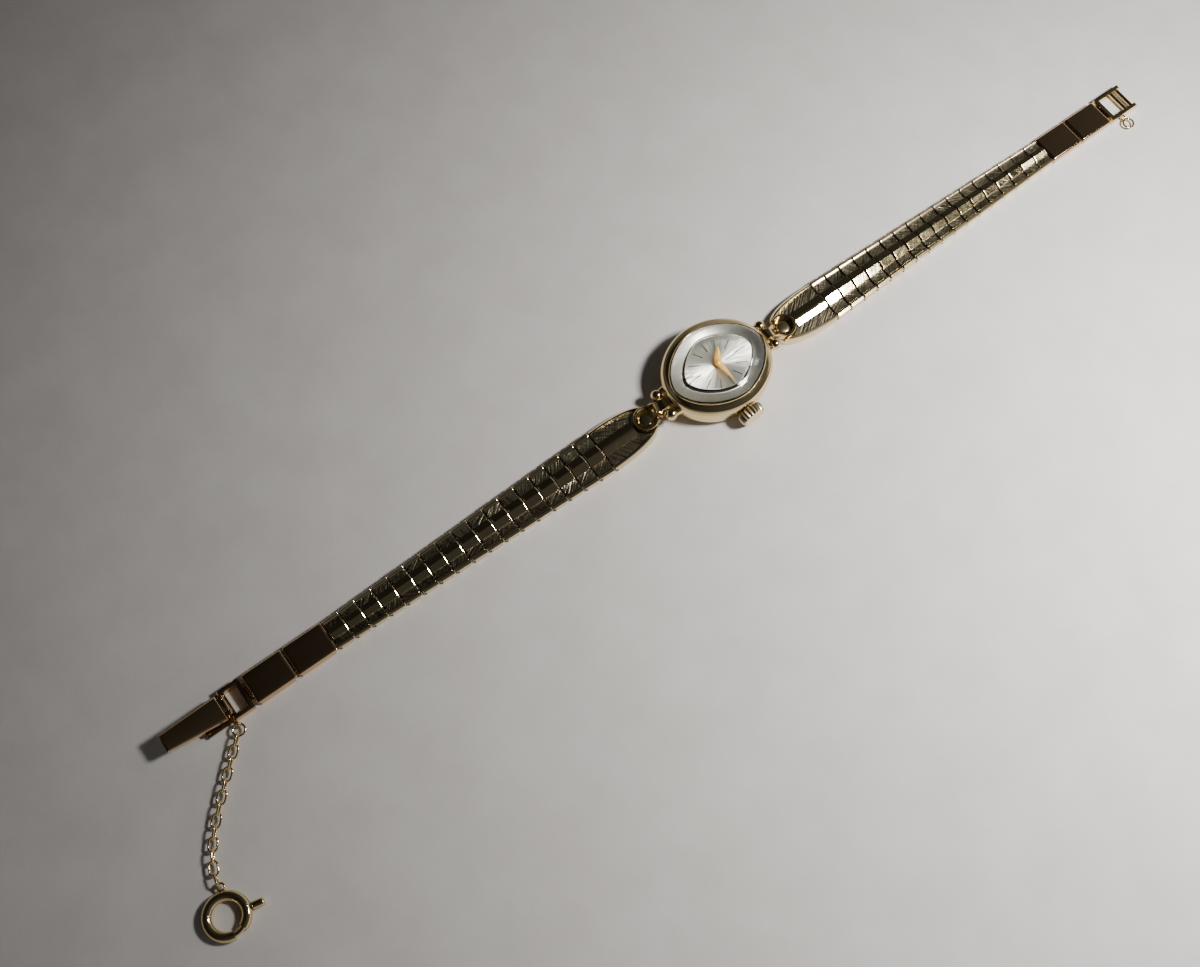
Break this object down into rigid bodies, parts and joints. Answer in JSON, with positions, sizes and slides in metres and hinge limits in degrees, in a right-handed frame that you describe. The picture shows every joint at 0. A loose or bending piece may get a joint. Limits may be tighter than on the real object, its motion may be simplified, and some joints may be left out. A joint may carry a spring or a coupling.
{
  "type": "ladies' hand-wound bracelet watch",
  "caption": "Small oval hand-wound dress watch in yellow gold on a tapered patterned link bracelet with a ladder clasp and safety chain.",
  "frame": {"origin": "centre of the case back's flat face, under the middle of the dial", "axes": "+Z out through the dial, +Y towards 12 o'clock along the bracelet, +X towards the crown"},
  "size_m": [0.0323, 0.1785, 0.0061],
  "materials": {
    "polished_gold": "mirror polish",
    "textured_gold": "engraved cross-hatch panels with polished edges",
    "plated_brass": "fine grained plating",
    "wheel_brass": "circular grained",
    "steel": "polished steel",
    "crystal_glass": "clear polished glass",
    "silvered_dial": "sunray brushed silver",
    "hand_gilt": "polished gilt"
  },
  "bodies": {
    "case": {"case_middle": "polished_gold", "case_back": "polished_gold", "bezel": "polished_gold", "crystal": "crystal_glass", "dial": "silvered_dial", "main_plate": "plated_brass", "train_bridge": "plated_brass", "balance_cock": "plated_brass", "pallet_cock": "plated_brass", "movement_screws": "steel"},
    "minute_drive": {"minute_hand": "hand_gilt", "cannon_pinion": "steel"},
    "hour_drive": {"hour_hand": "hand_gilt", "hour_wheel": "wheel_brass"},
    "minute_wheel": {"minute_wheel": "wheel_brass"},
    "barrel": {"mainspring_barrel": "wheel_brass", "mainspring": "steel"},
    "ratchet": {"ratchet_wheel": "steel"},
    "crown_wheel": {"crown_wheel": "steel"},
    "click": {"click": "steel"},
    "centre_wheel": {"centre_wheel": "wheel_brass"},
    "third_wheel": {"third_wheel": "wheel_brass"},
    "fourth_wheel": {"fourth_wheel": "wheel_brass"},
    "escape_wheel": {"escape_wheel": "steel"},
    "pallet_fork": {"pallet_fork": "steel"},
    "balance": {"balance_wheel": "wheel_brass", "hairspring": "steel"},
    "winding_pinion": {"winding_pinion": "steel"},
    "sliding_pinion": {"sliding_pinion": "steel"},
    "stem": {"winding_stem": "steel", "crown": "polished_gold"},
    "connector_12": {"connector_12": "polished_gold"},
    "end_piece_12": {"end_piece_12": "textured_gold"},
    "links_12_1": {"links_12_1": "textured_gold"},
    "links_12_2": {"links_12_2": "textured_gold"},
    "links_12_3": {"links_12_3": "textured_gold"},
    "links_12_4": {"links_12_4": "textured_gold"},
    "links_12_5": {"links_12_5": "textured_gold"},
    "links_12_6": {"links_12_6": "textured_gold"},
    "plain_link_12_1": {"plain_link_12_1": "polished_gold"},
    "plain_link_12_2": {"plain_link_12_2": "polished_gold"},
    "ladder_catch": {"ladder_catch": "polished_gold"},
    "connector_6": {"connector_6": "polished_gold"},
    "end_piece_6": {"end_piece_6": "textured_gold"},
    "links_6_1": {"links_6_1": "textured_gold"},
    "links_6_2": {"links_6_2": "textured_gold"},
    "links_6_3": {"links_6_3": "textured_gold"},
    "links_6_4": {"links_6_4": "textured_gold"},
    "links_6_5": {"links_6_5": "textured_gold"},
    "links_6_6": {"links_6_6": "textured_gold"},
    "plain_link_6_1": {"plain_link_6_1": "polished_gold"},
    "plain_link_6_2": {"plain_link_6_2": "polished_gold"},
    "clasp_frame": {"clasp_frame": "polished_gold"},
    "catch_ring": {"catch_ring": "polished_gold"},
    "clasp_leaf": {"clasp_leaf": "polished_gold"},
    "chain_1": {"chain_1": "polished_gold"},
    "chain_2": {"chain_2": "polished_gold"},
    "chain_3": {"chain_3": "polished_gold"},
    "spring_ring": {"spring_ring": "polished_gold"},
    "spring_ring_trigger": {"spring_ring_trigger": "polished_gold"}
  },
  "joints": [
    {"name": "minute_hand_turn", "type": "hinge", "parent": "case", "child": "minute_drive", "pos_m": [0, 0, 0.004], "axis": [0, 0, -1], "continuous": true},
    {"name": "hour_hand_turn", "type": "hinge", "parent": "case", "child": "hour_drive", "pos_m": [0, 0, 0.004], "axis": [0, 0, -1], "continuous": true},
    {"name": "minute_wheel_turn", "type": "hinge", "parent": "case", "child": "minute_wheel", "pos_m": [-0.00113, -0.00041, 0.0036], "axis": [0, 0, -1], "continuous": true},
    {"name": "fourth_wheel_turn", "type": "hinge", "parent": "case", "child": "fourth_wheel", "pos_m": [0.00013, -0.00265, 0.0023], "axis": [0, 0, 1], "continuous": true},
    {"name": "third_wheel_turn", "type": "hinge", "parent": "case", "child": "third_wheel", "pos_m": [-0.00191, -0.00191, 0.0023], "axis": [0, 0, 1], "continuous": true},
    {"name": "centre_wheel_turn", "type": "hinge", "parent": "case", "child": "centre_wheel", "pos_m": [0, 0, 0.0023], "axis": [0, 0, 1], "continuous": true},
    {"name": "barrel_turn", "type": "hinge", "parent": "case", "child": "barrel", "pos_m": [-0.00053, 0.00344, 0.0021], "axis": [0, 0, 1], "continuous": true},
    {"name": "escape_wheel_turn", "type": "hinge", "parent": "case", "child": "escape_wheel", "pos_m": [0.00175, -0.00379, 0.002], "axis": [0, 0, 1], "continuous": true},
    {"name": "pallet_fork_rock", "type": "hinge", "parent": "case", "child": "pallet_fork", "pos_m": [0.00055, -0.00434, 0.002], "axis": [0, 0, 1], "range_deg": [-4, 4]},
    {"name": "balance_swing", "type": "hinge", "parent": "case", "child": "balance", "pos_m": [-0.00055, -0.00485, 0.0016], "axis": [0, 0, 1], "range_deg": [-135, 135], "stiffness_Nm_per_rad": 0.0000001},
    {"name": "crown_turn", "type": "hinge", "parent": "case", "child": "winding_pinion", "pos_m": [0.0044, 0, 0.0021], "axis": [1, 0, 0], "continuous": true},
    {"name": "crown_wheel_turn", "type": "hinge", "parent": "case", "child": "crown_wheel", "pos_m": [0.0026, 0, 0.00115], "axis": [0, 0, 1], "continuous": true},
    {"name": "ratchet_turn", "type": "hinge", "parent": "case", "child": "ratchet", "pos_m": [-0.00053, 0.00344, 0.00115], "axis": [0, 0, 1], "continuous": true},
    {"name": "crown_pull", "type": "slide", "parent": "winding_pinion", "child": "stem", "axis": [1, 0, 0], "range_m": [0, 0.0006]},
    {"name": "sliding_pinion_shift", "type": "slide", "parent": "winding_pinion", "child": "sliding_pinion", "axis": [1, 0, 0], "range_m": [-0.0003, 0]},
    {"name": "click_rock", "type": "hinge", "parent": "case", "child": "click", "pos_m": [-0.00371, 0.00145, 0.00115], "axis": [0, 0, 1], "range_deg": [0, 12], "stiffness_Nm_per_rad": 0.00001},
    {"name": "connector_12_hinge", "type": "hinge", "parent": "case", "child": "connector_12", "pos_m": [0, 0.00925, 0.0026], "axis": [-1, 0, 0], "range_deg": [-5, 30]},
    {"name": "end_piece_12_swivel", "type": "hinge", "parent": "connector_12", "child": "end_piece_12", "pos_m": [0, 0.0124, 0.0011], "axis": [0, 0, 1], "range_deg": [-6, 6]},
    {"name": "links_12_1_hinge", "type": "hinge", "parent": "end_piece_12", "child": "links_12_1", "pos_m": [0, 0.02005, 0.00052], "axis": [-1, 0, 0], "range_deg": [-3, 16]},
    {"name": "links_12_2_hinge", "type": "hinge", "parent": "links_12_1", "child": "links_12_2", "pos_m": [0, 0.02785, 0.00052], "axis": [-1, 0, 0], "range_deg": [-3, 16]},
    {"name": "links_12_3_hinge", "type": "hinge", "parent": "links_12_2", "child": "links_12_3", "pos_m": [0, 0.03565, 0.00052], "axis": [-1, 0, 0], "range_deg": [-3, 16]},
    {"name": "links_12_4_hinge", "type": "hinge", "parent": "links_12_3", "child": "links_12_4", "pos_m": [0, 0.04345, 0.00052], "axis": [-1, 0, 0], "range_deg": [-3, 16]},
    {"name": "links_12_5_hinge", "type": "hinge", "parent": "links_12_4", "child": "links_12_5", "pos_m": [0, 0.05125, 0.00052], "axis": [-1, 0, 0], "range_deg": [-3, 16]},
    {"name": "links_12_6_hinge", "type": "hinge", "parent": "links_12_5", "child": "links_12_6", "pos_m": [0, 0.05905, 0.00052], "axis": [-1, 0, 0], "range_deg": [-3, 16]},
    {"name": "plain_link_12_1_hinge", "type": "hinge", "parent": "links_12_6", "child": "plain_link_12_1", "pos_m": [0, 0.06425, 0.00052], "axis": [-1, 0, 0], "range_deg": [-3, 12]},
    {"name": "plain_link_12_2_hinge", "type": "hinge", "parent": "plain_link_12_1", "child": "plain_link_12_2", "pos_m": [0, 0.0704, 0.00052], "axis": [-1, 0, 0], "range_deg": [-3, 12]},
    {"name": "ladder_catch_hinge", "type": "hinge", "parent": "plain_link_12_2", "child": "ladder_catch", "pos_m": [0, 0.07655, 0.00052], "axis": [-1, 0, 0], "range_deg": [-3, 12]},
    {"name": "connector_6_hinge", "type": "hinge", "parent": "case", "child": "connector_6", "pos_m": [0, -0.00925, 0.0026], "axis": [1, 0, 0], "range_deg": [-5, 30]},
    {"name": "end_piece_6_swivel", "type": "hinge", "parent": "connector_6", "child": "end_piece_6", "pos_m": [0, -0.0124, 0.0011], "axis": [0, 0, 1], "range_deg": [-6, 6]},
    {"name": "links_6_1_hinge", "type": "hinge", "parent": "end_piece_6", "child": "links_6_1", "pos_m": [0, -0.02005, 0.00052], "axis": [1, 0, 0], "range_deg": [-3, 16]},
    {"name": "links_6_2_hinge", "type": "hinge", "parent": "links_6_1", "child": "links_6_2", "pos_m": [0, -0.02785, 0.00052], "axis": [1, 0, 0], "range_deg": [-3, 16]},
    {"name": "links_6_3_hinge", "type": "hinge", "parent": "links_6_2", "child": "links_6_3", "pos_m": [0, -0.03565, 0.00052], "axis": [1, 0, 0], "range_deg": [-3, 16]},
    {"name": "links_6_4_hinge", "type": "hinge", "parent": "links_6_3", "child": "links_6_4", "pos_m": [0, -0.04345, 0.00052], "axis": [1, 0, 0], "range_deg": [-3, 16]},
    {"name": "links_6_5_hinge", "type": "hinge", "parent": "links_6_4", "child": "links_6_5", "pos_m": [0, -0.05125, 0.00052], "axis": [1, 0, 0], "range_deg": [-3, 16]},
    {"name": "links_6_6_hinge", "type": "hinge", "parent": "links_6_5", "child": "links_6_6", "pos_m": [0, -0.05905, 0.00052], "axis": [1, 0, 0], "range_deg": [-3, 16]},
    {"name": "plain_link_6_1_hinge", "type": "hinge", "parent": "links_6_6", "child": "plain_link_6_1", "pos_m": [0, -0.06425, 0.00052], "axis": [1, 0, 0], "range_deg": [-3, 12]},
    {"name": "plain_link_6_2_hinge", "type": "hinge", "parent": "plain_link_6_1", "child": "plain_link_6_2", "pos_m": [0, -0.0704, 0.00052], "axis": [1, 0, 0], "range_deg": [-3, 12]},
    {"name": "clasp_frame_hinge", "type": "hinge", "parent": "plain_link_6_2", "child": "clasp_frame", "pos_m": [0, -0.07655, 0.00052], "axis": [1, 0, 0], "range_deg": [-3, 12]},
    {"name": "catch_ring_swing", "type": "hinge", "parent": "ladder_catch", "child": "catch_ring", "pos_m": [0.0027, 0.07895, 0.00063], "axis": [0, 1, 0], "range_deg": [-30, 30]},
    {"name": "clasp_leaf_fold", "type": "hinge", "parent": "clasp_frame", "child": "clasp_leaf", "pos_m": [0, -0.07995, 0.00135], "axis": [-1, 0, 0], "range_deg": [-5, 140]},
    {"name": "chain_1_swing", "type": "hinge", "parent": "clasp_frame", "child": "chain_1", "pos_m": [0.00313, -0.07985, 0.0007], "axis": [0, 0, 1], "range_deg": [-15, 15]},
    {"name": "chain_2_swing", "type": "hinge", "parent": "chain_1", "child": "chain_2", "pos_m": [0.00779, -0.08467, 0.0007], "axis": [0, 0, 1], "range_deg": [-20, 20]},
    {"name": "chain_3_swing", "type": "hinge", "parent": "chain_2", "child": "chain_3", "pos_m": [0.0119, -0.08869, 0.0007], "axis": [0, 0, 1], "range_deg": [-20, 20]},
    {"name": "spring_ring_swing", "type": "hinge", "parent": "chain_3", "child": "spring_ring", "pos_m": [0.01849, -0.09218, 0.0007], "axis": [0, 0, 1], "range_deg": [-20, 20]},
    {"name": "spring_ring_trigger_slide", "type": "hinge", "parent": "spring_ring", "child": "spring_ring_trigger", "pos_m": [0.02202, -0.09315, 0.00065], "axis": [0, 0, 1], "range_deg": [0, 30], "stiffness_Nm_per_rad": 0.001}
  ],
  "couplings": [
    {"joint": "hour_hand_turn", "follows": "minute_hand_turn", "ratio": 0.083333},
    {"joint": "minute_wheel_turn", "follows": "minute_hand_turn", "ratio": -0.33333},
    {"joint": "third_wheel_turn", "follows": "fourth_wheel_turn", "ratio": -0.13333},
    {"joint": "centre_wheel_turn", "follows": "fourth_wheel_turn", "ratio": 0.016667},
    {"joint": "barrel_turn", "follows": "fourth_wheel_turn", "ratio": -0.0026667},
    {"joint": "escape_wheel_turn", "follows": "fourth_wheel_turn", "ratio": -10},
    {"joint": "crown_wheel_turn", "follows": "crown_turn", "ratio": 0.36842},
    {"joint": "ratchet_turn", "follows": "crown_turn", "ratio": -0.25455},
    {"joint": "sliding_pinion_shift", "follows": "crown_pull", "ratio": -0.5}
  ]
}
